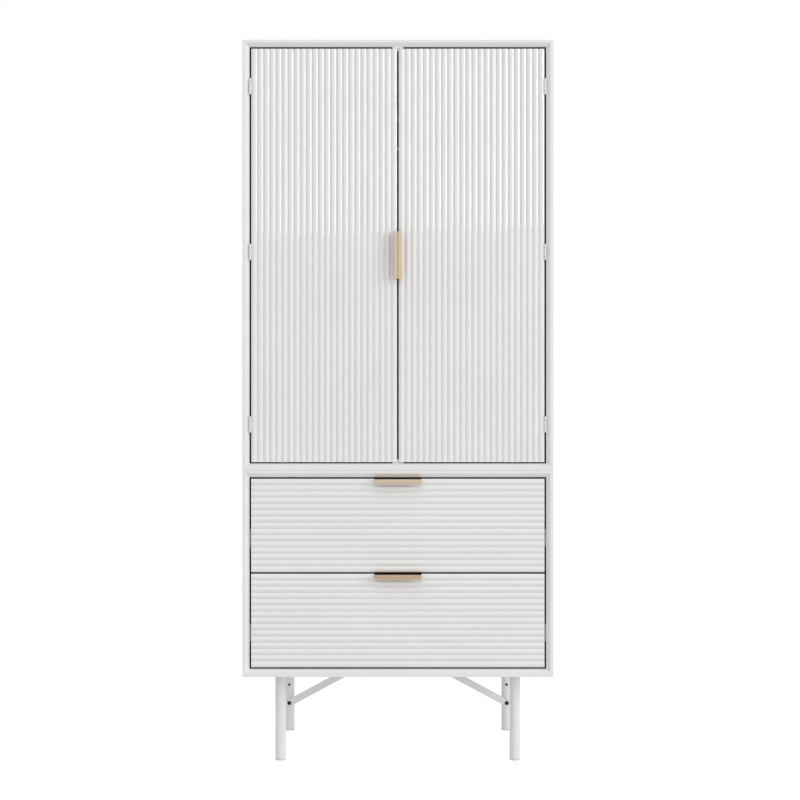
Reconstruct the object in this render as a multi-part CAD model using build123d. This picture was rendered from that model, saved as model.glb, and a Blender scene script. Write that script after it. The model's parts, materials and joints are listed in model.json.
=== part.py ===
from build123d import *
import os

# Armoire: two tall reeded doors over two reeded drawers, in two stacked carcass modules on a
# tubular leg frame. Millimetres, +Z up, the doors face -Y. The origin is on the floor under the
# middle of the whole object. Depths are counted backwards from the carcass front edges.

# ---------------------------------------------------------------- driving dimensions
CARCASS_WIDTH = 800
CARCASS_DEPTH = 500
LEG_HEIGHT = 225
LOWER_HEIGHT = 531
UPPER_HEIGHT = 1108

SIDE_THICKNESS = 18
UPPER_TOP_THICKNESS = 17.5
UPPER_BOTTOM_THICKNESS = 18
LOWER_TOP_THICKNESS = 17.5
LOWER_BOTTOM_THICKNESS = 19.7
BACK_THICKNESS = 6
BACK_REBATE = 8
BACK_FIT = 0.25
EDGE_BEVEL = 10
SILL_BEVEL = 7.5
BEVEL_DEPTH = 9
MODULE_ARRIS = 0.8

SIDE_GAP = 4.5
DOOR_TOP_GAP = 5.1
DOOR_BOTTOM_GAP = 3.5
DOOR_CENTRE_GAP = 4.4
DRAWER_TOP_GAP = 4
DRAWER_BOTTOM_GAP = 4.4
BETWEEN_DRAWERS = 4.3

FACE_RECESS = 4
FACE_THICKNESS = 21
REED_RISE = 3.5
DOOR_REEDS = 24
DRAWER_REEDS = 15

HANDLE_LENGTH = 121.5
HANDLE_REACH = 20
HANDLE_FACE = 11
HANDLE_SHEET = 1.5
HANDLE_WEB = 2
HANDLE_CURL = 2.5
HANDLE_CURL_DEPTH = 4.5
HANDLE_CORNER = 3
HANDLE_FLANGE = 22
HANDLE_SCREW_SPREAD = 45
DOOR_HANDLE_SEAM = 1

HINGE_HEIGHT = 41
HINGE_END_KNUCKLE = 9.25
HINGE_KNUCKLE_GAP = 0.5
HINGE_END_INSET = 97
HINGE_MIDDLE_RISE = 9
KNUCKLE_RADIUS = 2.75
PIN_RADIUS = 1.5
PIN_CLEARANCE = 0.05
PIVOT_DEPTH = 4.8
LEAF_THICKNESS = 1.2
LEAF_FRONT_DEPTH = 6.2
LEAF_BACK_DEPTH = 24

CATCH_WIDTH = 28
CATCH_HEIGHT = 10.5
CATCH_LENGTH = 34
CATCH_NOSE_DEPTH = 7.5
CATCH_NOSE_CLEARANCE = 0.8
CATCH_FIN = 2.4
STRIKE_THICKNESS = 1
CATCH_CLEARANCE = 0.4

SHELF_THICKNESS = 18
SHELF_DROP = 170
SHELF_DEPTH_START = 45
RAIL_RADIUS = 12.5
RAIL_BORE = 11.3
RAIL_DROP = 45
RAIL_DEPTH = 250
RAIL_END_PLAY = 2
RAIL_FLANGE = 3
RAIL_FLANGE_RADIUS = 26

RUNNER_THICKNESS = 12.7
RUNNER_HEIGHT = 45
RUNNER_LENGTH = 440
RUNNER_SHEET = 1.2
RUNNER_RISE = 62
RUNNER_BACKSET = 2
BOX_SIDE_THICKNESS = 12
BOX_HEIGHT = 170
BOX_LENGTH = 440
BOX_RISE = 24
BOX_BOTTOM_THICKNESS = 6
BOX_BOTTOM_RISE = 10
BOX_GROOVE = 6
BOX_SCREW_HEIGHTS = (35, 135)

LEG_RADIUS = 14
LEG_BORE = 12
LEG_OFFSET_X = 305
LEG_INSET = 60
LEG_STUD_RADIUS = 5
LEG_NUT_RADIUS = 7.5
LEG_NUT_HEIGHT = 16
GLIDE_THICKNESS = 4
BRACE_WIDTH = 19.5
BRACE_THICKNESS = 4
BRACE_FOOT_HEIGHT = 78
BRACE_HEAD_X = 32
BRACE_TAB = 26
BRACE_TAB_WIDTH = 43
SPARE_HOLE_RISE = 51
SPARE_HOLE_RADIUS = 3.5

WALL_RAIL_HEIGHT = 70
WALL_RAIL_THICKNESS = 18
WALL_HOLE_RADIUS = 3.5
WALL_HOLE_OFFSET = 250

# ---------------------------------------------------------------- planes worked out from them
HALF_WIDTH = CARCASS_WIDTH / 2
INNER_HALF = HALF_WIDTH - SIDE_THICKNESS
HANDLE_STAND_OFF = HANDLE_REACH - FACE_RECESS
FRONT = -(CARCASS_DEPTH + HANDLE_STAND_OFF) / 2 + HANDLE_STAND_OFF
BACK = FRONT + CARCASS_DEPTH
CREST = FRONT + FACE_RECESS
FACE_BACK = CREST + FACE_THICKNESS

LOWER_Z = LEG_HEIGHT
UPPER_Z = LOWER_Z + LOWER_HEIGHT
TOP_Z = UPPER_Z + UPPER_HEIGHT
UPPER_FLOOR = UPPER_Z + UPPER_BOTTOM_THICKNESS
UPPER_CEILING = TOP_Z - UPPER_TOP_THICKNESS
LOWER_FLOOR = LOWER_Z + LOWER_BOTTOM_THICKNESS
LOWER_CEILING = UPPER_Z - LOWER_TOP_THICKNESS

DOOR_EDGE = INNER_HALF - SIDE_GAP
DOOR_FREE_EDGE = DOOR_CENTRE_GAP / 2
DOOR_LOW = UPPER_FLOOR + DOOR_BOTTOM_GAP
DOOR_HIGH = UPPER_CEILING - DOOR_TOP_GAP
DOOR_MIDDLE = (DOOR_LOW + DOOR_HIGH) / 2

DRAWER_OPENING = LOWER_CEILING - LOWER_FLOOR - DRAWER_TOP_GAP - DRAWER_BOTTOM_GAP
DRAWER_FACE = (DRAWER_OPENING - BETWEEN_DRAWERS) / 2
LOWER_DRAWER_LOW = LOWER_FLOOR + DRAWER_BOTTOM_GAP
UPPER_DRAWER_LOW = LOWER_DRAWER_LOW + DRAWER_FACE + BETWEEN_DRAWERS

PIVOT_X = INNER_HALF - SIDE_GAP / 2
PIVOT_Y = FRONT + PIVOT_DEPTH
HINGE_HEIGHTS = (
    DOOR_LOW + HINGE_END_INSET,
    DOOR_MIDDLE + HINGE_MIDDLE_RISE,
    DOOR_HIGH - HINGE_END_INSET,
)

SHELF_LOW = UPPER_CEILING - SHELF_DROP - SHELF_THICKNESS
RAIL_Z = SHELF_LOW - RAIL_DROP
LEG_FRONT_Y = FRONT + LEG_INSET
LEG_REAR_Y = BACK - LEG_INSET
WALL_RAIL_MIDDLE = UPPER_CEILING - WALL_RAIL_HEIGHT / 2


# ---------------------------------------------------------------- small tools
def block(x, y, z):
    """A block between the two limits given for each axis."""
    centre = Pos(sum(x) / 2, sum(y) / 2, sum(z) / 2)
    return centre * Box(abs(x[1] - x[0]), abs(y[1] - y[0]), abs(z[1] - z[0]))


def rod(radius, start, end):
    """A round bar between two points."""
    line = Vector(*end) - Vector(*start)
    return Solid.make_cylinder(radius, line.length, Plane(origin=start, z_dir=line))


def tube(radius, bore, start, end):
    """A round tube between two points."""
    return rod(radius, start, end) - rod(bore, start, end)


def countersunk_screw(point, direction, length, shank=1.5, head=3):
    """A flush screw whose head lies at point and whose tip lies along direction."""
    seat = Plane(origin=point, z_dir=direction)
    cone = Solid.make_cone(head, shank, head - shank, seat)
    return cone + Solid.make_cylinder(shank, length, seat)


def pan_screw(point, direction, length, shank=1.75, head=3.5, head_height=2):
    """A screw whose low round head stands proud of point, with its tip along direction."""
    seat = Plane(origin=point, z_dir=direction)
    cap = Solid.make_cylinder(head, head_height, seat.offset(-head_height))
    return cap + Solid.make_cylinder(shank, length, seat)


def mirrored(pieces):
    """The same pieces on the other side of the middle plane."""
    return [mirror(piece, about=Plane.YZ) for piece in pieces]


def both_sides(pieces):
    """The pieces and their mirror images."""
    return pieces + mirrored(pieces)


def let_in(piece, *groups):
    """The piece with a snug recess for everything seated in it."""
    for group in groups:
        for fitting in group:
            piece = piece - fitting
    return piece


def save(node, pieces):
    """Write one node's solids."""
    solids = [solid for piece in pieces for solid in piece.solids()]
    shape = solids[0] if len(solids) == 1 else Compound(children=solids)
    export_step(shape, f"parts/{node}.step")


# ---------------------------------------------------------------- carcass modules
def opening_outline(low, high, depth, spread, sill_spread):
    """A module's opening at one depth, widened by spread at its sides and top, by sill_spread below."""
    middle = (low - sill_spread + high + spread) / 2
    plane = Plane((0, FRONT + depth, middle), x_dir=(1, 0, 0), z_dir=(0, -1, 0))
    return plane * Rectangle(2 * (INNER_HALF + spread), high - low + spread + sill_spread)


def bevel_cutter(low, high):
    """The sloped picture-frame edge round a module's opening, mitred at its corners."""
    overrun = 1
    grow = 1 + overrun / BEVEL_DEPTH
    small = opening_outline(low, high, BEVEL_DEPTH, 0, 0)
    large = opening_outline(low, high, -overrun, EDGE_BEVEL * grow, SILL_BEVEL * grow)
    return loft([small, large])


def eased(board, face):
    """A board whose lowest (face 0) or highest (face -1) outline is eased: the modules' joint line."""
    outline = board.faces().sort_by(Axis.Z)[face].edges()
    return chamfer(outline, MODULE_ARRIS)


def module_panels(low, floor, ceiling, high):
    """Bottom, top, left side and back of one module."""
    full = (-HALF_WIDTH, HALF_WIDTH)
    depth = (FRONT, BACK)
    opening = bevel_cutter(floor, ceiling)
    reach = INNER_HALF + BACK_REBATE
    rebate = block(
        (-reach, reach),
        (BACK - BACK_THICKNESS, BACK),
        (floor - BACK_REBATE, ceiling + BACK_REBATE),
    )
    bottom = eased(block(full, depth, (low, floor)), 0) - opening - rebate
    top = eased(block(full, depth, (ceiling, high)), -1) - opening - rebate
    left = block((-HALF_WIDTH, -INNER_HALF), depth, (floor, ceiling)) - opening - rebate
    back = block(
        (-reach + BACK_FIT, reach - BACK_FIT),
        (BACK - BACK_THICKNESS, BACK),
        (floor - BACK_REBATE + BACK_FIT, ceiling + BACK_REBATE - BACK_FIT),
    )
    return bottom, top, left, back


def dowels(joint_z, direction):
    """Three dowels in one corner joint: direction is the way from the side into the panel."""
    into_side = 18
    into_panel = 12
    radius = 4
    x = -(HALF_WIDTH - SIDE_THICKNESS / 2)
    margin = 60
    side_end = joint_z - direction * into_side
    panel_end = joint_z + direction * into_panel
    depths = (FRONT + margin, (FRONT + BACK) / 2, BACK - margin)
    return [rod(radius, (x, y, side_end), (x, y, panel_end)) for y in depths]


def joining_bolts():
    """Sleeve bolts that hold the upper module on the lower one, with a low head at each end."""
    shank = 4
    head = 8
    head_height = 1.5
    x = 300
    pieces = []
    for y in (LEG_FRONT_Y, LEG_REAR_Y):
        bolt = rod(shank, (x, y, LOWER_CEILING), (x, y, UPPER_FLOOR))
        bolt += rod(head, (x, y, LOWER_CEILING - head_height), (x, y, LOWER_CEILING))
        bolt += rod(head, (x, y, UPPER_FLOOR), (x, y, UPPER_FLOOR + head_height))
        pieces.append(bolt)
    return both_sides(pieces)


# ---------------------------------------------------------------- wardrobe fittings
def shelf():
    side_play = 1.5
    half = INNER_HALF - side_play
    return block(
        (-half, half),
        (FRONT + SHELF_DEPTH_START, BACK - BACK_THICKNESS - side_play),
        (SHELF_LOW, SHELF_LOW + SHELF_THICKNESS),
    )


def shelf_pins():
    radius = 2.5
    into_side = 10
    stand_out = 12
    z = SHELF_LOW - radius
    seat = -INNER_HALF - into_side
    tip = -INNER_HALF + stand_out
    front_depth = 90
    rear_depth = 430
    rows = (FRONT + front_depth, FRONT + rear_depth)
    return both_sides([rod(radius, (seat, y, z), (tip, y, z)) for y in rows])


def hanging_rail():
    half = INNER_HALF - RAIL_END_PLAY
    y = FRONT + RAIL_DEPTH
    return tube(RAIL_RADIUS, RAIL_BORE, (-half, y, RAIL_Z), (half, y, RAIL_Z))


def rail_sockets():
    """A round flange on each side with a collar that the rail drops into."""
    collar_wall = 2.5
    collar = 14
    y = FRONT + RAIL_DEPTH
    wall = (-INNER_HALF, y, RAIL_Z)
    rail_end = (-INNER_HALF + RAIL_END_PLAY, y, RAIL_Z)
    rim = (-INNER_HALF + collar, y, RAIL_Z)
    socket = rod(RAIL_FLANGE_RADIUS, wall, (-INNER_HALF + RAIL_FLANGE, y, RAIL_Z))
    socket += rod(RAIL_RADIUS + collar_wall, wall, rim)
    return [socket - rod(RAIL_RADIUS, rail_end, rim)]


def socket_screws():
    spread = 20.5
    length = 16
    x = -INNER_HALF + RAIL_FLANGE
    y = FRONT + RAIL_DEPTH
    rows = (RAIL_Z - spread, RAIL_Z + spread)
    return [countersunk_screw((x, y, z), (-1, 0, 0), length, head=2.8) for z in rows]


def wall_rail():
    """Batten under the top, in front of the back panel, that takes the wall screws."""
    y = BACK - BACK_THICKNESS
    return block(
        (-INNER_HALF, INNER_HALF),
        (y - WALL_RAIL_THICKNESS, y),
        (UPPER_CEILING - WALL_RAIL_HEIGHT, UPPER_CEILING),
    )


def wall_holes():
    x = -WALL_HOLE_OFFSET
    z = WALL_RAIL_MIDDLE
    start = BACK - BACK_THICKNESS - WALL_RAIL_THICKNESS
    return both_sides([rod(WALL_HOLE_RADIUS, (x, start, z), (x, BACK, z))])


def catch_front():
    return FACE_BACK + STRIKE_THICKNESS + CATCH_CLEARANCE


def catch_magnets():
    """Two small bar magnets in each catch, one for each door."""
    inner = 2
    outer = 11
    height = 4
    depth = 5
    margin = 1.2
    y = (catch_front(), catch_front() + depth)
    low = UPPER_FLOOR + CATCH_HEIGHT - margin
    high = UPPER_CEILING - CATCH_HEIGHT + margin
    rows = ((low - height, low), (high, high + height))
    return both_sides([block((-outer, -inner), y, z) for z in rows])


def catch_housing(board, inwards, gap):
    """One catch on a board's face. Its nose fills the gap beside the doors, its fin the one between."""
    half = CATCH_WIDTH / 2
    body = (catch_front(), catch_front() + CATCH_LENGTH)
    nose = (FRONT + CATCH_NOSE_DEPTH, catch_front())
    tip = board + inwards * CATCH_HEIGHT
    nose_tip = board + inwards * (gap - CATCH_NOSE_CLEARANCE)
    piece = block((-half, half), body, (board, tip))
    piece += block((-half, half), nose, (board, nose_tip))
    piece += block((-CATCH_FIN / 2, CATCH_FIN / 2), nose, (board, tip))
    return let_in(piece, catch_magnets())


def catch_housings():
    """A double magnetic catch under the top and another on the bottom, at the middle."""
    low = catch_housing(UPPER_FLOOR, 1, DOOR_BOTTOM_GAP)
    high = catch_housing(UPPER_CEILING, -1, DOOR_TOP_GAP)
    return [low, high]


# ---------------------------------------------------------------- reeded faces and handles
def reeded_face(plane, width, reeds, length):
    """A board whose front is a row of convex reeds. Local +X runs across them, +Y into the board."""
    pitch = width / reeds
    sketch_lines = []
    for reed in range(reeds):
        start = (reed * pitch, REED_RISE)
        crest = ((reed + 0.5) * pitch, 0)
        end = ((reed + 1) * pitch, REED_RISE)
        sketch_lines.append(ThreePointArc(start, crest, end))
    sketch_lines.append(
        Polyline(
            (width, REED_RISE),
            (width, FACE_THICKNESS),
            (0, FACE_THICKNESS),
            (0, REED_RISE),
        )
    )
    section = make_face(Curve() + sketch_lines)
    return extrude(plane * section, amount=length)


def span(u, v):
    """A rectangle in a profile, between the limits given for its two axes."""
    return Pos((u[0] + u[1]) / 2, (v[0] + v[1]) / 2) * Rectangle(u[1] - u[0], v[1] - v[0])


def corner_cutter(lip_edge, end, depth):
    """What rounds off one corner of a pull's lip."""
    overrun = 1
    middle = (lip_edge - HANDLE_CORNER, end * (HANDLE_LENGTH / 2 - HANDLE_CORNER))
    outside = (lip_edge + overrun, end * (HANDLE_LENGTH / 2 + overrun))
    along = (min(middle[1], outside[1]), max(middle[1], outside[1]))
    cutter = block((middle[0], outside[0]), depth, along)
    rounding = rod(HANDLE_CORNER, (middle[0], depth[0], middle[1]), (middle[0], depth[1], middle[1]))
    return cutter - rounding


def handle(plane, nose):
    """Folded edge pull whose lip starts nose beyond the edge. Local X runs inwards, local Y back."""
    lip_front = -HANDLE_REACH
    lip_back = lip_front + HANDLE_SHEET
    bend = HANDLE_FACE - nose - HANDLE_CURL
    inner_curl = HANDLE_CURL - HANDLE_SHEET
    curl_tip = lip_front + HANDLE_CURL_DEPTH
    flange_back = FACE_THICKNESS + HANDLE_WEB
    corner = Pos(bend, lip_front + HANDLE_CURL)
    ring = corner * (Circle(HANDLE_CURL) - Circle(inner_curl))
    curl = ring & span((bend, bend + HANDLE_CURL), (lip_front, lip_front + HANDLE_CURL))
    profile = span((-nose, bend), (lip_front, lip_back))
    profile += curl
    profile += span((bend + inner_curl, bend + HANDLE_CURL), (lip_front + HANDLE_CURL, curl_tip))
    profile += span((0, HANDLE_WEB), (lip_front, flange_back))
    profile += span((0, HANDLE_FLANGE), (FACE_THICKNESS, flange_back))
    pull = extrude(profile, amount=HANDLE_LENGTH / 2, both=True)
    for end in (-1, 1):
        pull -= corner_cutter(HANDLE_FACE - nose, end, (lip_front, curl_tip))
    return plane * pull


def handle_screws(plane):
    """Two screws through the flange into the back of the face."""
    across = 13
    length = 14
    flange_back = FACE_THICKNESS + HANDLE_WEB
    rows = (-HANDLE_SCREW_SPREAD, HANDLE_SCREW_SPREAD)
    points = [plane.from_local_coords((across, flange_back, along)) for along in rows]
    return [pan_screw(tuple(point), (0, -1, 0), length) for point in points]


# ---------------------------------------------------------------- left door, and the right by mirroring
def door_handle_plane():
    return Plane((-DOOR_FREE_EDGE, CREST, DOOR_MIDDLE), x_dir=(-1, 0, 0), z_dir=(0, 0, -1))


def middle_knuckle_half():
    return HINGE_HEIGHT / 2 - HINGE_END_KNUCKLE - HINGE_KNUCKLE_GAP


def frame_leaf(z):
    """The leaf let into the carcass side, with the two end knuckles."""
    half = HINGE_HEIGHT / 2
    relief = KNUCKLE_RADIUS + HINGE_KNUCKLE_GAP
    relief_half = half - HINGE_END_KNUCKLE
    wall = (-INNER_HALF - LEAF_THICKNESS, -INNER_HALF)
    leaf_front = FRONT + LEAF_FRONT_DEPTH
    leaf = block(wall, (leaf_front, FRONT + LEAF_BACK_DEPTH), (z - half, z + half))
    leaf -= block(wall, (PIVOT_Y, PIVOT_Y + relief), (z - relief_half, z + relief_half))
    for end in (-1, 1):
        start = (-PIVOT_X, PIVOT_Y, z + end * relief_half)
        leaf += rod(KNUCKLE_RADIUS, start, (-PIVOT_X, PIVOT_Y, z + end * half))
        leaf += block(
            (-INNER_HALF, -PIVOT_X),
            (leaf_front, leaf_front + LEAF_THICKNESS),
            (z + end * relief_half, z + end * half),
        )
    return leaf - hinge_pin(z)


def door_leaf(z):
    """The leaf let into the door's edge, with the middle knuckle."""
    half = HINGE_HEIGHT / 2
    knuckle_half = middle_knuckle_half()
    relief = KNUCKLE_RADIUS + HINGE_KNUCKLE_GAP
    edge = (-DOOR_EDGE, -DOOR_EDGE + LEAF_THICKNESS)
    leaf = block(edge, (PIVOT_Y + relief, FRONT + LEAF_BACK_DEPTH), (z - half, z + half))
    leaf += block(edge, (PIVOT_Y, PIVOT_Y + relief), (z - knuckle_half, z + knuckle_half))
    start = (-PIVOT_X, PIVOT_Y, z - knuckle_half)
    end = (-PIVOT_X, PIVOT_Y, z + knuckle_half)
    leaf += rod(KNUCKLE_RADIUS, start, end)
    return leaf - rod(PIN_RADIUS + PIN_CLEARANCE, start, end)


def hinge_pin(z):
    half = HINGE_HEIGHT / 2
    return rod(PIN_RADIUS, (-PIVOT_X, PIVOT_Y, z - half), (-PIVOT_X, PIVOT_Y, z + half))


def leaf_screws(x, direction):
    """Two flush screws in each of the three leaves whose open face is at x."""
    depth = 16
    spread = 12
    length = 14
    return [
        countersunk_screw((x, FRONT + depth, z + dz), (direction, 0, 0), length, head=2.6)
        for z in HINGE_HEIGHTS
        for dz in (-spread, spread)
    ]


def strike_plates():
    """A steel plate at the top and at the bottom of the door's free edge, opposite the magnets."""
    from_edge = 1.5
    width = 12
    height = 14
    from_end = 1
    x = (-DOOR_FREE_EDGE - from_edge - width, -DOOR_FREE_EDGE - from_edge)
    y = (FACE_BACK, FACE_BACK + STRIKE_THICKNESS)
    low = block(x, y, (DOOR_LOW + from_end, DOOR_LOW + from_end + height))
    high = block(x, y, (DOOR_HIGH - from_end - height, DOOR_HIGH - from_end))
    return [low, high]


def left_door():
    """Panel, handle, hinge leaves, strike plates and screws of the left door."""
    corner = Plane((-DOOR_EDGE, CREST, DOOR_LOW), x_dir=(1, 0, 0), z_dir=(0, 0, 1))
    panel = reeded_face(corner, DOOR_EDGE - DOOR_FREE_EDGE, DOOR_REEDS, DOOR_HIGH - DOOR_LOW)
    plane = door_handle_plane()
    pull = handle(plane, DOOR_FREE_EDGE - DOOR_HANDLE_SEAM / 2)
    leaves = [door_leaf(z) for z in HINGE_HEIGHTS]
    screws = handle_screws(plane) + leaf_screws(-DOOR_EDGE, 1)
    return {
        "door_panel": [let_in(panel, [pull], leaves, screws)],
        "door_handle": [let_in(pull, screws)],
        "door_hinge_leaves": [let_in(leaf, screws) for leaf in leaves],
        "door_strike_plates": strike_plates(),
        "door_screws": screws,
    }


# ---------------------------------------------------------------- drawers and their runners
def runner_channel(web, flange_tip, half_height):
    """One steel member at the left side: web and flange_tip are distances from the carcass side."""
    x = -INNER_HALF
    sheet = RUNNER_SHEET if flange_tip > web else -RUNNER_SHEET
    start = FACE_BACK + RUNNER_BACKSET
    y = (start, start + RUNNER_LENGTH)
    member = block((x + web, x + web + sheet), y, (-half_height, half_height))
    for side in (-1, 1):
        edge = side * half_height
        member += block((x + web, x + flange_tip), y, (edge, edge - side * RUNNER_SHEET))
    return member


def cabinet_member():
    lip = 9.5
    return runner_channel(0, lip, RUNNER_HEIGHT / 2)


def middle_member():
    stand_off = 2.2
    lip = 11
    inset = 2.7
    return runner_channel(stand_off, lip, RUNNER_HEIGHT / 2 - inset)


def drawer_member():
    lip = 4.4
    inset = 5.7
    return runner_channel(RUNNER_THICKNESS, lip, RUNNER_HEIGHT / 2 - inset)


def runner_heights():
    return [low + BOX_RISE + RUNNER_RISE for low in (UPPER_DRAWER_LOW, LOWER_DRAWER_LOW)]


def runner_screws(face, direction, z):
    """Three flush screws through one member, spaced along its length."""
    length = 10
    first = 40
    spacing = 180
    x = -INNER_HALF + face
    rows = [FACE_BACK + first + spacing * step for step in range(3)]
    return [countersunk_screw((x, y, z), (direction, 0, 0), length, head=2.6) for y in rows]


def drawer(low):
    """Front, box, handle, runner members and screws of the drawer whose face starts at low."""
    box_low = low + BOX_RISE
    box_high = box_low + BOX_HEIGHT
    box_half = INNER_HALF - RUNNER_THICKNESS
    box_back = FACE_BACK + BOX_LENGTH
    inner_half = box_half - BOX_SIDE_THICKNESS
    bottom_low = box_low + BOX_BOTTOM_RISE

    corner = Plane((-DOOR_EDGE, CREST, low + DRAWER_FACE), x_dir=(0, 0, -1), z_dir=(1, 0, 0))
    front = reeded_face(corner, DRAWER_FACE, DRAWER_REEDS, 2 * DOOR_EDGE)
    bottom = block(
        (-inner_half - BOX_GROOVE, inner_half + BOX_GROOVE),
        (FACE_BACK - BOX_GROOVE, box_back - BOX_SIDE_THICKNESS + BOX_GROOVE),
        (bottom_low, bottom_low + BOX_BOTTOM_THICKNESS),
    )
    left = block((-box_half, -inner_half), (FACE_BACK, box_back), (box_low, box_high))
    back = block((-inner_half, inner_half), (box_back - BOX_SIDE_THICKNESS, box_back), (box_low, box_high))

    plane = Plane((0, CREST, low + DRAWER_FACE), x_dir=(0, 0, -1), z_dir=(1, 0, 0))
    pull = handle(plane, 0)
    pull_screws = handle_screws(plane)
    corner_screws = [
        countersunk_screw((-box_half, box_back - BOX_SIDE_THICKNESS / 2, box_low + z), (1, 0, 0), 36)
        for z in BOX_SCREW_HEIGHTS
    ]
    runner_z = box_low + RUNNER_RISE
    member = Pos(0, 0, runner_z) * drawer_member()
    member_screws = runner_screws(RUNNER_THICKNESS - RUNNER_SHEET, 1, runner_z)
    side_screws = corner_screws + member_screws
    screws = pull_screws + both_sides(side_screws)
    side = let_in(left, [bottom], side_screws)
    return {
        "drawer_front": [let_in(front, [bottom, pull], pull_screws)],
        "drawer_left_side": [side],
        "drawer_right_side": mirrored([side]),
        "drawer_back": [let_in(back, [bottom], both_sides(corner_screws))],
        "drawer_bottom": [bottom],
        "drawer_handle": [let_in(pull, pull_screws)],
        "drawer_runner_members": both_sides([let_in(member, member_screws)]),
        "drawer_screws": screws,
    }


# ---------------------------------------------------------------- leg frame
def leg_nut_hole(x, y):
    return rod(LEG_NUT_RADIUS, (x, y, LEG_HEIGHT), (x, y, LEG_HEIGHT + LEG_NUT_HEIGHT))


def leg_insert_nut(x, y):
    """Threaded bush in the underside that takes the leg's stud."""
    top = (x, y, LEG_HEIGHT + LEG_NUT_HEIGHT)
    return leg_nut_hole(x, y) - rod(LEG_STUD_RADIUS, (x, y, LEG_HEIGHT), top)


def leg(x, y):
    """Round tube closed by a welded plug with a threaded stud."""
    plug = 8
    stud = 14
    body = tube(LEG_RADIUS, LEG_BORE, (x, y, GLIDE_THICKNESS), (x, y, LEG_HEIGHT))
    body += rod(LEG_BORE, (x, y, LEG_HEIGHT - plug), (x, y, LEG_HEIGHT))
    body += rod(LEG_STUD_RADIUS, (x, y, LEG_HEIGHT), (x, y, LEG_HEIGHT + stud))
    return body


def foot_glide(x, y):
    """Plastic foot with a plug that fits inside the tube."""
    plug = 12
    foot = rod(LEG_RADIUS, (x, y, 0), (x, y, GLIDE_THICKNESS))
    return foot + rod(LEG_BORE, (x, y, GLIDE_THICKNESS), (x, y, GLIDE_THICKNESS + plug))


def brace_bolt():
    """Round-headed bolt and nut through the left brace and the left rear leg."""
    head = 5.5
    head_height = 3
    shank = 3
    nut = 5.5
    nut_height = 5
    x = -LEG_OFFSET_X
    z = BRACE_FOOT_HEIGHT
    start = LEG_REAR_Y - LEG_RADIUS - BRACE_THICKNESS
    end = LEG_REAR_Y + LEG_RADIUS
    bolt = rod(shank, (x, start, z), (x, end + nut_height, z))
    bolt += rod(head, (x, start - head_height, z), (x, start, z))
    bolt += rod(nut, (x, end, z), (x, end + nut_height, z))
    return bolt


def spare_hole():
    """Second drilled hole in the front wall of the left rear leg, above the brace."""
    overrun = 1
    z = BRACE_FOOT_HEIGHT + SPARE_HOLE_RISE
    start = (-LEG_OFFSET_X, LEG_REAR_Y - LEG_RADIUS - overrun, z)
    return rod(SPARE_HOLE_RADIUS, start, (-LEG_OFFSET_X, LEG_REAR_Y, z))


def brace_tab_screws():
    spread = 10
    length = 18
    tab_low = LEG_HEIGHT - BRACE_THICKNESS
    y = LEG_REAR_Y - LEG_RADIUS - BRACE_THICKNESS - BRACE_TAB / 2
    columns = (-BRACE_HEAD_X - spread, -BRACE_HEAD_X + spread)
    return [countersunk_screw((x, y, tab_low), (0, 0, 1), length, shank=2, head=4) for x in columns]


def brace():
    """Left flat bar from the rear leg up to the underside, with a bent screw tab at its head."""
    y = (LEG_REAR_Y - LEG_RADIUS - BRACE_THICKNESS, LEG_REAR_Y - LEG_RADIUS)
    foot = Vector(-LEG_OFFSET_X, 0, BRACE_FOOT_HEIGHT)
    head = Vector(-BRACE_HEAD_X, 0, LEG_HEIGHT)
    slope = head - foot
    overrun = BRACE_WIDTH * 2
    length = slope.length + overrun
    plane = Plane((foot.X, y[1], foot.Z), x_dir=slope, z_dir=(0, -1, 0))
    outline = Pos(length / 2, 0) * Rectangle(length, BRACE_WIDTH) + Circle(BRACE_WIDTH / 2)
    bar = extrude(plane * outline, amount=BRACE_THICKNESS)
    bar -= block((-HALF_WIDTH, HALF_WIDTH), y, (LEG_HEIGHT, UPPER_Z))
    tab = block(
        (-BRACE_HEAD_X - BRACE_TAB_WIDTH / 2, -BRACE_HEAD_X + BRACE_TAB_WIDTH / 2),
        (y[0] - BRACE_TAB, y[1]),
        (LEG_HEIGHT - BRACE_THICKNESS, LEG_HEIGHT),
    )
    return bar + tab


# ---------------------------------------------------------------- writing the nodes
def write_doors():
    for name, pieces in left_door().items():
        save(f"left_{name}", pieces)
        save(f"right_{name}", mirrored(pieces))


def write_drawers():
    for side, low in (("upper", UPPER_DRAWER_LOW), ("lower", LOWER_DRAWER_LOW)):
        for name, pieces in drawer(low).items():
            save(f"{side}_{name}", pieces)
        runner_z = low + BOX_RISE + RUNNER_RISE
        save(f"{side}_runner_middle_members", both_sides([Pos(0, 0, runner_z) * middle_member()]))


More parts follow.
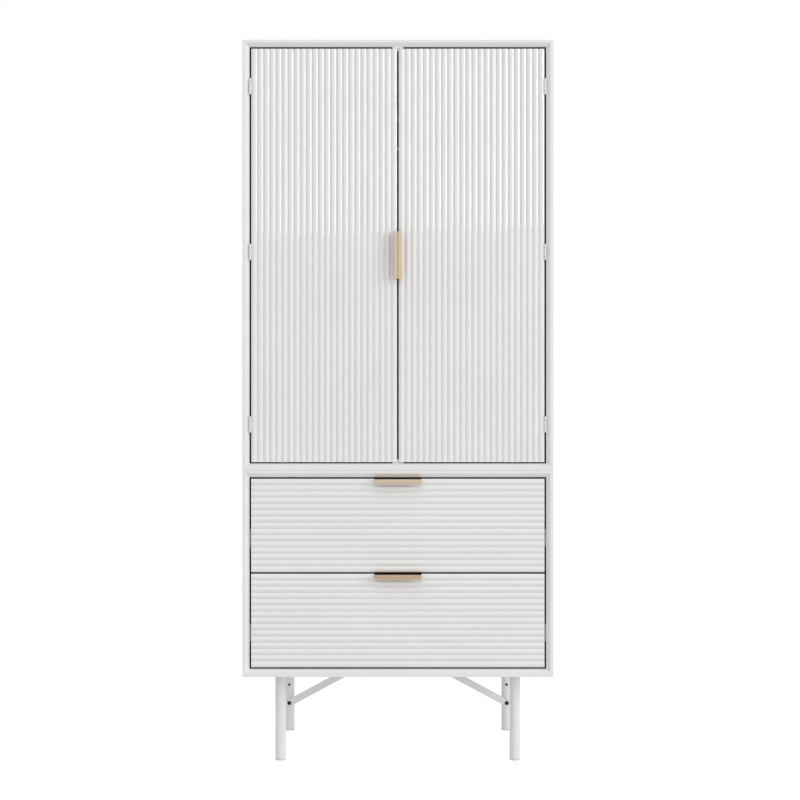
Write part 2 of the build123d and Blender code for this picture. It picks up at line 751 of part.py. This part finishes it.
def write_carcass():
    frame_leaves = [frame_leaf(z) for z in HINGE_HEIGHTS]
    hinge_screws = leaf_screws(-INNER_HALF, -1)
    rail_screws = socket_screws()
    sockets = [let_in(socket, rail_screws) for socket in rail_sockets()]
    pins = shelf_pins()
    upper_dowels = dowels(UPPER_CEILING, 1) + dowels(UPPER_FLOOR, -1)
    lower_dowels = dowels(LOWER_CEILING, 1) + dowels(LOWER_FLOOR, -1)
    all_dowels = both_sides(upper_dowels + lower_dowels)
    bolts = joining_bolts()
    holes = wall_holes()

    bottom, top, left, back = module_panels(UPPER_Z, UPPER_FLOOR, UPPER_CEILING, TOP_Z)
    left = let_in(left, upper_dowels, frame_leaves, hinge_screws, rail_screws, pins)
    save("upper_bottom_panel", [let_in(bottom, both_sides(upper_dowels), bolts)])
    save("upper_top_panel", [let_in(top, both_sides(upper_dowels))])
    save("upper_left_side", [left])
    save("upper_right_side", mirrored([left]))
    save("upper_back_panel", [let_in(back, holes)])

    cabinet_screws = []
    members = []
    for z in runner_heights():
        screws = runner_screws(RUNNER_SHEET, -1, z)
        members.append(let_in(Pos(0, 0, z) * cabinet_member(), screws))
        cabinet_screws += screws

    leg_rows = (LEG_FRONT_Y, LEG_REAR_Y)
    nuts = both_sides([leg_insert_nut(-LEG_OFFSET_X, y) for y in leg_rows])
    nut_holes = both_sides([leg_nut_hole(-LEG_OFFSET_X, y) for y in leg_rows])
    tab_screws = brace_tab_screws()

    bottom, top, left, back = module_panels(LOWER_Z, LOWER_FLOOR, LOWER_CEILING, UPPER_Z)
    left = let_in(left, lower_dowels, cabinet_screws)
    save("lower_bottom_panel", [let_in(bottom, both_sides(lower_dowels + tab_screws), nut_holes)])
    save("lower_top_panel", [let_in(top, both_sides(lower_dowels), bolts)])
    save("lower_left_side", [left])
    save("lower_right_side", mirrored([left]))
    save("lower_back_panel", [back])

    save("wall_fixing_rail", [let_in(wall_rail(), holes)])
    save("wardrobe_shelf", [shelf()])
    save("shelf_pins", pins)
    save("hanging_rail", [hanging_rail()])
    save("rail_sockets", both_sides(sockets))
    save("catch_housings", catch_housings())
    save("catch_magnets", catch_magnets())
    save("frame_hinge_leaves", both_sides([let_in(leaf, hinge_screws) for leaf in frame_leaves]))
    save("hinge_pins", both_sides([hinge_pin(z) for z in HINGE_HEIGHTS]))
    save("module_joining_bolts", bolts)
    save("runner_cabinet_members", both_sides(members))
    save("carcass_dowels", all_dowels)
    save("carcass_wood_screws", both_sides(hinge_screws + rail_screws + cabinet_screws + tab_screws))
    save("leg_insert_nuts", nuts)


def write_leg_frame():
    bolt = brace_bolt()
    front = leg(-LEG_OFFSET_X, LEG_FRONT_Y)
    rear = let_in(leg(-LEG_OFFSET_X, LEG_REAR_Y), [bolt, spare_hole()])
    bar = let_in(brace(), [bolt], brace_tab_screws())
    glides = [foot_glide(-LEG_OFFSET_X, y) for y in (LEG_FRONT_Y, LEG_REAR_Y)]
    for name, piece in (("leg_front", front), ("leg_rear", rear), ("brace", bar)):
        save(f"{name}_left", [piece])
        save(f"{name}_right", mirrored([piece]))
    save("foot_glides", both_sides(glides))
    save("brace_bolts", both_sides([bolt]))


os.makedirs("parts", exist_ok=True)
write_carcass()
write_leg_frame()
write_doors()
write_drawers()
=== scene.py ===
import json
import math

import bmesh
import bpy
from mathutils import Matrix, Vector


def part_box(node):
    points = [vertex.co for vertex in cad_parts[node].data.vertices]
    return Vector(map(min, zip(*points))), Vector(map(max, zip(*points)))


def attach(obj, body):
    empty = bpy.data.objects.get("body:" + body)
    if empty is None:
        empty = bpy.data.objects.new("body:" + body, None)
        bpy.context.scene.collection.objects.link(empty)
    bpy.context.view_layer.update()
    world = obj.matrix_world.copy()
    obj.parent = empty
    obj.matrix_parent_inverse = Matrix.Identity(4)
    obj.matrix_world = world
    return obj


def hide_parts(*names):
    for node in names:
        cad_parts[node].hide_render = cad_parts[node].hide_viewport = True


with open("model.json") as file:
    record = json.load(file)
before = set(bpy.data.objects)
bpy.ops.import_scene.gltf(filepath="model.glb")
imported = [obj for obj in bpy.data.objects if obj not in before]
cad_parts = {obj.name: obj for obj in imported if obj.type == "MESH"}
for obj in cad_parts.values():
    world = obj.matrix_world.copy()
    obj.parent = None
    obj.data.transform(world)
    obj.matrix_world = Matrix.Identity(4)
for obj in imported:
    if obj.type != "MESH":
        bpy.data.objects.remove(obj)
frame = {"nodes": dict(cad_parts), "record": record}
NODES = frame["nodes"]
SLOTS = {part["node"]: part["material_slot"] for part in frame["record"]["subparts"]}
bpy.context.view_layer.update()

MM = 0.001
FRONT_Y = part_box("upper_top_panel")[0].y


# ---------------------------------------------------------------- camera
LENS = 81
SENSOR = 36
CAMERA_DISTANCE = 4.6275
CAMERA_HEIGHT = 1.0403
CAMERA_RIGHT = 0.0056
CAMERA_SHIFT = -0.05


def make_camera():
    """Level camera straight in front of the doors."""
    data = bpy.data.cameras.new("camera")
    data.lens = LENS
    data.sensor_width = SENSOR
    data.shift_y = CAMERA_SHIFT
    camera = bpy.data.objects.new("camera", data)
    bpy.context.scene.collection.objects.link(camera)
    camera.location = (CAMERA_RIGHT, FRONT_Y - CAMERA_DISTANCE, CAMERA_HEIGHT)
    camera.rotation_euler = (math.radians(90), 0, 0)
    bpy.context.scene.camera = camera


# ---------------------------------------------------------------- light and ground
AMBIENT = 0.92
AMBIENT_SLOPE = (0.13, 0, 0.24)
DARK_SIDE = 0.82
DARK_EDGE = (-0.6, -0.3)
BACKGROUND = 1.0
KEY_PLACE = (3.53, -2.12, 2.3)
KEY_AIM = (0, FRONT_Y, 1.3)
KEY_SIZE = (1.3, 1.3)
KEY_POWER = 27
FLOOR_RADIUS = 14
FLOOR_COLOUR = (0.2, 0.2, 0.2, 1)
FLOOR_GLOW = 0.88


def softbox(name, place, target, size, power):
    """Rectangular studio light at place, aimed at target."""
    data = bpy.data.lights.new(name, "AREA")
    data.shape = "RECTANGLE"
    data.size, data.size_y = size
    data.energy = power
    light = bpy.data.objects.new(name, data)
    bpy.context.scene.collection.objects.link(light)
    light.location = place
    aim = Vector(target) - Vector(place)
    light.rotation_euler = aim.to_track_quat("-Z", "Y").to_euler()


def make_world():
    """White surroundings. As light they are dimmer than they look, brighter above, with a grey left."""
    world = bpy.data.worlds.new("studio")
    bpy.context.scene.world = world
    world.use_nodes = True
    nodes, links = world.node_tree.nodes, world.node_tree.links
    nodes.clear()
    out = nodes.new("ShaderNodeOutputWorld")
    mix = nodes.new("ShaderNodeMixShader")
    path = nodes.new("ShaderNodeLightPath")
    ambient = nodes.new("ShaderNodeBackground")
    seen = nodes.new("ShaderNodeBackground")
    ambient.inputs["Color"].default_value = (1, 1, 1, 1)
    direction = nodes.new("ShaderNodeTexCoord")
    slope = nodes.new("ShaderNodeVectorMath")
    slope.operation = "DOT_PRODUCT"
    slope.inputs[1].default_value = AMBIENT_SLOPE
    level = nodes.new("ShaderNodeMath")
    level.operation = "ADD"
    level.inputs[1].default_value = AMBIENT
    axes = nodes.new("ShaderNodeSeparateXYZ")
    side = nodes.new("ShaderNodeMapRange")
    side.interpolation_type = "SMOOTHSTEP"
    side.inputs["From Min"].default_value, side.inputs["From Max"].default_value = DARK_EDGE
    side.inputs["To Min"].default_value = DARK_SIDE
    shaded = nodes.new("ShaderNodeMath")
    shaded.operation = "MULTIPLY"
    links.new(direction.outputs["Generated"], slope.inputs[0])
    links.new(direction.outputs["Generated"], axes.inputs[0])
    links.new(axes.outputs["X"], side.inputs["Value"])
    links.new(slope.outputs["Value"], level.inputs[0])
    links.new(level.outputs["Value"], shaded.inputs[0])
    links.new(side.outputs["Result"], shaded.inputs[1])
    links.new(shaded.outputs["Value"], ambient.inputs["Strength"])
    seen.inputs["Color"].default_value = (1, 1, 1, 1)
    seen.inputs["Strength"].default_value = BACKGROUND
    links.new(path.outputs["Is Camera Ray"], mix.inputs["Fac"])
    links.new(ambient.outputs["Background"], mix.inputs[1])
    links.new(seen.outputs["Background"], mix.inputs[2])
    links.new(mix.outputs["Shader"], out.inputs["Surface"])


def make_lights():
    """A softbox at the right and above, which draws the bright line down each reed."""
    softbox("key_softbox", KEY_PLACE, KEY_AIM, KEY_SIZE, KEY_POWER)


def make_floor():
    """A round white ground that glows, so that it has no visible edge and nearly no shadow."""
    mesh = bpy.data.meshes.new("floor")
    grid = bmesh.new()
    bmesh.ops.create_circle(grid, cap_ends=True, segments=96, radius=FLOOR_RADIUS)
    grid.to_mesh(mesh)
    grid.free()
    floor = bpy.data.objects.new("floor", mesh)
    bpy.context.scene.collection.objects.link(floor)
    material = bpy.data.materials.new("floor_white")
    material.use_nodes = True
    shader = material.node_tree.nodes["Principled BSDF"]
    shader.inputs["Base Color"].default_value = FLOOR_COLOUR
    shader.inputs["Roughness"].default_value = 0.9
    shader.inputs["Specular IOR Level"].default_value = 0.1
    shader.inputs["Emission Color"].default_value = (1, 1, 1, 1)
    shader.inputs["Emission Strength"].default_value = FLOOR_GLOW
    mesh.materials.append(material)
    floor.visible_diffuse = False
    floor.visible_glossy = False


# ---------------------------------------------------------------- material tools
class Surface:
    """A node material with a Principled shader, and short calls for what feeds it."""

    def __init__(self, name, roughness, metallic=0.0, specular=0.5):
        self.material = bpy.data.materials.new(name)
        self.material.use_nodes = True
        self.nodes = self.material.node_tree.nodes
        self.links = self.material.node_tree.links
        self.shader = self.nodes["Principled BSDF"]
        self.shader.inputs["Roughness"].default_value = roughness
        self.shader.inputs["Metallic"].default_value = metallic
        self.shader.inputs["Specular IOR Level"].default_value = specular
        self.place = self.nodes.new("ShaderNodeTexCoord").outputs["Object"]

    def coated(self, roughness, ior):
        """A clear glossy film on top."""
        self.shader.inputs["Coat Weight"].default_value = 1
        self.shader.inputs["Coat Roughness"].default_value = roughness
        self.shader.inputs["Coat IOR"].default_value = ior
        return self

    def stretched(self, scale):
        """Object coordinates scaled by three factors, for brushed or grained patterns."""
        mapping = self.nodes.new("ShaderNodeMapping")
        mapping.inputs["Scale"].default_value = scale
        self.links.new(self.place, mapping.inputs["Vector"])
        return mapping.outputs["Vector"]

    def noise(self, scale, detail=3.0, roughness=0.5, vector=None, distortion=0.0):
        node = self.nodes.new("ShaderNodeTexNoise")
        node.inputs["Scale"].default_value = scale
        node.inputs["Detail"].default_value = detail
        node.inputs["Roughness"].default_value = roughness
        node.inputs["Distortion"].default_value = distortion
        self.links.new(vector or self.place, node.inputs["Vector"])
        return node.outputs["Fac"]

    def cells(self, scale, vector=None):
        node = self.nodes.new("ShaderNodeTexVoronoi")
        node.inputs["Scale"].default_value = scale
        self.links.new(vector or self.place, node.inputs["Vector"])
        return node.outputs["Distance"]

    def mixed(self, a, b, share):
        """Two grey patterns mixed by a fixed share."""
        node = self.nodes.new("ShaderNodeMix")
        node.inputs["Factor"].default_value = share
        self.links.new(a, node.inputs["A"])
        self.links.new(b, node.inputs["B"])
        return node.outputs["Result"]

    def colour(self, pattern, stops):
        """Base colour from a grey pattern: stops are (position, colour) pairs."""
        ramp = self.nodes.new("ShaderNodeValToRGB")
        ends = ramp.color_ramp.elements
        while len(ends) < len(stops):
            ends.new(0.5)
        for end, (position, colour) in zip(ends, stops):
            end.position = position
            end.color = (*colour, 1)
        self.links.new(pattern, ramp.inputs["Fac"])
        self.links.new(ramp.outputs["Color"], self.shader.inputs["Base Color"])
        return self

    def rough(self, pattern, low, high):
        """Roughness between low and high."""
        spread = self.nodes.new("ShaderNodeMapRange")
        spread.inputs["To Min"].default_value = low
        spread.inputs["To Max"].default_value = high
        self.links.new(pattern, spread.inputs["Value"])
        self.links.new(spread.outputs["Result"], self.shader.inputs["Roughness"])
        return self

    def relief(self, pattern, height, strength=1.0):
        """Bump of a given height in metres."""
        bump = self.nodes.new("ShaderNodeBump")
        bump.inputs["Strength"].default_value = strength
        bump.inputs["Distance"].default_value = height
        self.links.new(pattern, bump.inputs["Height"])
        self.links.new(bump.outputs["Normal"], self.shader.inputs["Normal"])
        return self


# ---------------------------------------------------------------- materials
def white_lacquer():
    """Satin sprayed lacquer: faint cloudiness, orange peel of about a millimetre."""
    s = Surface("white_lacquer", 0.4, specular=0.3).coated(0.04, 1.75)
    s.colour(s.noise(5, 4), [(0.3, (0.79, 0.79, 0.785)), (0.7, (0.815, 0.815, 0.81))])
    s.rough(s.noise(26, 5), 0.35, 0.45)
    return s.relief(s.mixed(s.noise(750, 2), s.noise(140, 2), 0.35), 0.000006).material


def white_board():
    """Matt melamine with a fine pearl grain."""
    s = Surface("white_board", 0.5, specular=0.35)
    s.colour(s.noise(8, 4), [(0.3, (0.77, 0.77, 0.76)), (0.7, (0.8, 0.8, 0.79))])
    s.rough(s.noise(60, 4), 0.45, 0.6)
    return s.relief(s.noise(1600, 3), 0.00004).material


def white_steel():
    """Powder coat: a finer, sharper orange peel than the lacquer's."""
    s = Surface("white_steel", 0.35, specular=0.5).coated(0.15, 1.5)
    s.colour(s.noise(12, 4), [(0.3, (0.76, 0.76, 0.75)), (0.7, (0.79, 0.79, 0.78))])
    s.rough(s.noise(90, 4), 0.3, 0.42)
    return s.relief(s.noise(1300, 2), 0.00004).material


def black_steel():
    s = Surface("black_steel", 0.4, metallic=0.6)
    s.colour(s.noise(220, 4), [(0.3, (0.015, 0.015, 0.016)), (0.7, (0.035, 0.035, 0.037))])
    s.rough(s.noise(500, 4), 0.3, 0.5)
    return s.relief(s.noise(900, 3), 0.00003).material


CHAMPAGNE = [(0.25, (0.66, 0.535, 0.378)), (0.75, (0.73, 0.604, 0.437))]
# The lower drawer pull uses the same brass painted darker and browner: painted shade for the darker
# surroundings it reflects from its low place.
PAINTED_SHADE_GOLD = [(0.25, (0.56, 0.395, 0.245)), (0.75, (0.63, 0.455, 0.295))]
ALONG_X = (30, 1500, 1500)
ALONG_Z = (1500, 1500, 30)


def brass(name, stretch, tones):
    """Brass, brushed along the pull's longest side."""
    s = Surface(name, 0.3, metallic=1.0)
    lines = s.noise(1.0, 5, 0.6, s.stretched(stretch))
    s.colour(s.mixed(lines, s.noise(14, 3), 0.4), tones)
    s.rough(lines, 0.14, 0.26)
    return s.relief(lines, 0.00001, 0.5).material


def zinc_steel():
    """Bright zinc with soft crystal patches and rolling lines."""
    s = Surface("zinc_steel", 0.35, metallic=1.0)
    patches = s.cells(260)
    s.colour(s.mixed(patches, s.noise(60, 4), 0.5), [(0.2, (0.5, 0.51, 0.53)), (0.8, (0.66, 0.67, 0.69))])
    s.rough(patches, 0.24, 0.42)
    return s.relief(s.noise(1.0, 4, 0.6, s.stretched((900, 40, 900))), 0.00002, 0.5).material


def polished_steel():
    s = Surface("polished_steel", 0.12, metallic=1.0)
    lines = s.noise(1.0, 4, 0.6, s.stretched((1500, 60, 60)))
    s.colour(s.noise(30, 3), [(0.3, (0.72, 0.73, 0.75)), (0.7, (0.8, 0.8, 0.82))])
    s.rough(lines, 0.08, 0.18)
    return s.relief(lines, 0.00001, 0.4).material


def moulded(name, light, dark, low, high):
    """Moulded plastic with a fine spark-eroded texture."""
    s = Surface(name, low, specular=0.45)
    s.colour(s.noise(70, 3), [(0.3, dark), (0.7, light)])
    s.rough(s.noise(300, 3), low, high)
    return s.relief(s.noise(2200, 2), 0.00003).material


def beech():
    s = Surface("beech", 0.6, specular=0.3)
    grain = s.noise(1.0, 5, 0.65, s.stretched((600, 600, 40)), 0.4)
    s.colour(grain, [(0.3, (0.5, 0.31, 0.17)), (0.7, (0.72, 0.5, 0.31))])
    s.rough(grain, 0.5, 0.7)
    return s.relief(grain, 0.00005).material


def make_materials():
    """One material for each of the record's slots."""
    return {
        "white_lacquer": white_lacquer(),
        "white_board": white_board(),
        "white_steel": white_steel(),
        "black_steel": black_steel(),
        "brass": brass("brass_brushed_across", ALONG_X, CHAMPAGNE),
        "zinc_steel": zinc_steel(),
        "polished_steel": polished_steel(),
        "white_plastic": moulded("white_plastic", (0.86, 0.86, 0.86), (0.82, 0.82, 0.82), 0.25, 0.35),
        "glide_plastic": moulded("glide_plastic", (0.7, 0.7, 0.69), (0.64, 0.64, 0.63), 0.5, 0.65),
        "beech": beech(),
    }


# ---------------------------------------------------------------- CAD nodes
def dress(node, material, arris, segments=2):
    """Gives a CAD node its material and rounds its arrises, in metres, without touching its mesh."""
    piece = NODES[node]
    piece.data.materials.clear()
    piece.data.materials.append(material)
    weld = piece.modifiers.new("join_faces", "WELD")
    weld.merge_threshold = 0.01 * MM
    flats = piece.modifiers.new("join_flats", "DECIMATE")
    flats.decimate_type = "DISSOLVE"
    flats.angle_limit = math.radians(0.5)
    bevel = piece.modifiers.new("arris", "BEVEL")
    bevel.width = arris
    bevel.segments = segments
    bevel.limit_method = "ANGLE"
    bevel.angle_limit = math.radians(35)
    bevel.use_clamp_overlap = True
    normals = piece.modifiers.new("even_shading", "WEIGHTED_NORMAL")
    normals.keep_sharp = True


def arris_of(slot):
    """How far each kind of board or metal is rounded at its edges."""
    rounded = {
        "white_lacquer": 0.3 * MM,
        "white_board": 0.4 * MM,
        "white_steel": 0.25 * MM,
        "brass": 0.35 * MM,
        "white_plastic": 0.6 * MM,
        "glide_plastic": 0.6 * MM,
    }
    return rounded.get(slot, 0.15 * MM)


def dress_nodes(materials):
    upright = brass("brass_brushed_up", ALONG_Z, CHAMPAGNE)
    special = {
        "left_door_handle": upright,
        "right_door_handle": upright,
        # Painted shade: the lower drawer pull gets a darker copy of the brass, standing in for the dimmer
        # light it reflects.
        "lower_drawer_handle": brass("brass_painted_darker", ALONG_X, PAINTED_SHADE_GOLD),
    }
    for node, slot in SLOTS.items():
        dress(node, special.get(node, materials[slot]), arris_of(slot))


# ---------------------------------------------------------------- fastenings
ROUND = 24
SHARP = math.radians(32)
PULL_SCREW_HEAD = 3.5 * MM
PULL_SCREW_HEIGHT = 2 * MM
BOLT_HEAD_HEIGHT = 3 * MM
BOLT_CORE = 3 * MM
BOLT_NUT_HEIGHT = 5 * MM
JOINER_HEAD = 8 * MM
JOINER_CORE = 4 * MM
JOINER_HEAD_HEIGHT = 1.5 * MM
THREAD_PITCH = 1.3 * MM
THREAD_ROOT = 0.74
CROSS_ARM = 0.56
CROSS_SLOT = 0.15
SOCKET = 0.5


def solids_of(node):
    """The separate solids of a CAD node, each as a list of points."""
    grid = bmesh.new()
    grid.from_mesh(NODES[node].data)
    bmesh.ops.remove_doubles(grid, verts=grid.verts, dist=0.001 * MM)
    waiting = set(grid.verts)
    groups = []
    for seed in grid.verts:
        if seed not in waiting:
            continue
        waiting.discard(seed)
        group = [seed]
        for vert in group:
            for edge in vert.link_edges:
                other = edge.other_vert(vert)
                if other in waiting:
                    waiting.discard(other)
                    group.append(other)
        groups.append([vert.co.copy() for vert in group])
    grid.free()
    return groups


class Shank:
    """Where one screw or bolt lies: its ends, its radii there, and its own frame of reference."""

    def __init__(self, points):
        low = Vector([min(p[axis] for p in points) for axis in range(3)])
        high = Vector([max(p[axis] for p in points) for axis in range(3)])
        middle = (low + high) / 2
        axis = max(range(3), key=lambda i: high[i] - low[i])
        way = Vector([1.0 if i == axis else 0.0 for i in range(3)])

        def radius_at(end):
            near = [p for p in points if abs(p[axis] - end) < 0.05 * MM]
            return max(((p - middle) - way * (p - middle).dot(way)).length for p in near)

        self.length = high[axis] - low[axis]
        first, last = radius_at(low[axis]), radius_at(high[axis])
        head = middle - way * self.length / 2
        if last > first + 0.01 * MM:
            head, way = middle + way * self.length / 2, -way
        self.head_radius, self.tip_radius = max(first, last), min(first, last)
        self.matrix = Matrix.Translation(head) @ way.to_track_quat("Z", "Y").to_matrix().to_4x4()


def ring(grid, matrix, radius, depth, count=ROUND):
    """A loop of points round the shank at a depth below the head's top."""
    turns = [2 * math.pi * (step + 0.5) / count for step in range(count)]
    return [
        grid.verts.new(matrix @ Vector((radius * math.cos(a), radius * math.sin(a), depth)))
        for a in turns
    ]


def wall(grid, upper, lower):
    """Faces between two loops of the same count."""
    count = len(upper)
    for step in range(count):
        after = (step + 1) % count
        grid.faces.new((upper[step], upper[after], lower[after], lower[step]))


def turned(grid, matrix, profile, count=ROUND):
    """A turned surface through (radius, depth) points, closed at its deep end."""
    loops = [ring(grid, matrix, radius, depth, count) for radius, depth in profile]
    for upper, lower in zip(loops, loops[1:]):
        wall(grid, upper, lower)
    grid.faces.new(loops[-1])
    return loops[0]


def cross_outline(radius):
    """A plus-shaped outline, counter-clockwise."""
    arm, slot = radius * CROSS_ARM, radius * CROSS_SLOT
    quarter = [(arm, -slot), (arm, slot), (slot, slot)]
    outline = []
    for turn in range(4):
        c, s = math.cos(turn * math.pi / 2), math.sin(turn * math.pi / 2)
        outline += [(x * c - y * s, x * s + y * c) for x, y in quarter]
    return outline


def hexagon(radius):
    """A hexagon's outline, counter-clockwise."""
    return [(radius * math.cos(math.pi * i / 3), radius * math.sin(math.pi * i / 3)) for i in range(6)]


def recess(grid, matrix, rim, outline, depth, taper):
    """The flat top inside the rim, with a driver recess of the given outline sunk into it."""
    mouth = [grid.verts.new(matrix @ Vector((x, y, 0))) for x, y in outline]
    floor = [grid.verts.new(matrix @ Vector((x * taper, y * taper, depth))) for x, y in outline]
    edges = []
    for loop in (rim, mouth):
        for a, b in zip(loop, loop[1:] + loop[:1]):
            edges.append(grid.edges.get((a, b)) or grid.edges.new((a, b)))
    bmesh.ops.triangle_fill(grid, use_beauty=True, edges=edges)
    wall(grid, mouth, floor)
    grid.faces.new(floor)


def thread(start, end, radius):
    """Ridges along a shank, ending in a blunt point."""
    count = max(1, int((end - start) / THREAD_PITCH))
    step = (end - start) / count
    profile = []
    for turn in range(count):
        share = 1 - 0.5 * max(0.0, (turn + 3 - count) / 3)
        profile.append((radius * THREAD_ROOT * share, start + step * turn))
        profile.append((radius * share, start + step * (turn + 0.5)))
    profile.append((radius * 0.15, end))
    return profile


def countersunk(grid, shank):
    """Flush cross-head screw."""
    head, core = shank.head_radius, shank.tip_radius
    neck = head - core
    profile = [(head, 0), (head, 0.2 * MM), (core, neck + 0.2 * MM)]
    profile += thread(neck + 1.5 * MM, shank.length, core)
    rim = turned(grid, shank.matrix, profile)
    recess(grid, shank.matrix, rim, cross_outline(head), head * 0.45, 0.45)


def pan_head(grid, shank):
    """Round-headed cross-head screw."""
    head, core, height = shank.head_radius, shank.tip_radius, PULL_SCREW_HEIGHT
    profile = [(head * 0.72, 0), (head * 0.9, height * 0.2), (head, height * 0.55), (head, height)]
    profile += [(core, height), (core, height + 1 * MM)]
    profile += thread(height + 1.2 * MM, shank.length, core)
    rim = turned(grid, shank.matrix, profile)
    recess(grid, shank.matrix, rim, cross_outline(head * 0.8), head * 0.42, 0.5)


def brace_bolt(grid, shank):
    """Button-headed socket bolt with a washer and a hexagon nut."""
    head, core, height = shank.head_radius, BOLT_CORE, BOLT_HEAD_HEIGHT
    profile = [(head * 0.62, 0), (head * 0.84, height * 0.18), (head * 0.97, height * 0.55)]
    profile += [(head, height * 0.8), (head, height), (core, height)]
    profile += thread(height, shank.length, core)
    rim = turned(grid, shank.matrix, profile)
    recess(grid, shank.matrix, rim, hexagon(head * SOCKET), height * 0.7, 0.92)
    start = shank.length - BOLT_NUT_HEIGHT
    washer = [(core, start), (head, start), (head, start + 1 * MM), (core, start + 1 * MM)]
    turned(grid, shank.matrix, washer)
    corner, inner = head, head * 0.86
    hexagonal = [(core, start + 1 * MM), (inner, start + 1 * MM), (corner, start + 1.4 * MM)]
    hexagonal += [(corner, shank.length - 0.9 * MM), (inner, shank.length - 0.5 * MM)]
    hexagonal += [(core * 0.9, shank.length - 0.5 * MM)]
    turned(grid, shank.matrix, hexagonal, 6)


def joining_bolt(grid, shank):
    """Sleeve bolt with a low socket head at both ends."""
    head, core, height = JOINER_HEAD, JOINER_CORE, JOINER_HEAD_HEIGHT
    half = shank.length / 2
    flipped = shank.matrix @ Matrix.Translation((0, 0, shank.length)) @ Matrix.Rotation(math.pi, 4, "X")
    for matrix in (shank.matrix, flipped):
        profile = [(head * 0.9, 0), (head, height * 0.4), (head, height), (core, height), (core, half)]
        rim = turned(grid, matrix, profile)
        recess(grid, matrix, rim, hexagon(head * SOCKET), height * 1.6, 0.94)


def fastenings(name, node, body, material, make):
    """One piece that stands for every screw or bolt in a CAD node. make draws each one."""
    grid = bmesh.new()
    for points in solids_of(node):
        make(grid, Shank(points))
    bmesh.ops.recalc_face_normals(grid, faces=grid.faces)
    for face in grid.faces:
        face.smooth = True
    for edge in grid.edges:
        edge.smooth = len(edge.link_faces) == 2 and edge.calc_face_angle(0) < SHARP
    mesh = bpy.data.meshes.new(name)
    grid.to_mesh(mesh)
    grid.free()
    mesh.materials.append(material)
    piece = bpy.data.objects.new(name, mesh)
    bpy.context.scene.collection.objects.link(piece)
    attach(piece, body)
    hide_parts(node)


def wood_or_pull_screw(grid, shank):
    """The pulls' screws have proud round heads; all the others are flush."""
    if shank.head_radius > PULL_SCREW_HEAD - 0.1 * MM:
        pan_head(grid, shank)
    else:
        countersunk(grid, shank)


def make_fastenings(materials):
    zinc, black = materials["zinc_steel"], materials["black_steel"]
    fastenings("carcass_cross_head_screws", "carcass_wood_screws", "carcass", zinc, countersunk)
    fastenings("module_socket_bolts", "module_joining_bolts", "carcass", zinc, joining_bolt)
    fastenings("brace_button_bolts", "brace_bolts", "carcass", black, brace_bolt)
    for body in ("left_door", "right_door", "upper_drawer", "lower_drawer"):
        fastenings(f"{body}_cross_head_screws", f"{body}_screws", body, zinc, wood_or_pull_screw)


make_camera()
make_world()
make_lights()
make_floor()
slot_materials = make_materials()
dress_nodes(slot_materials)
make_fastenings(slot_materials)
bpy.context.scene.view_settings.view_transform = "Standard"
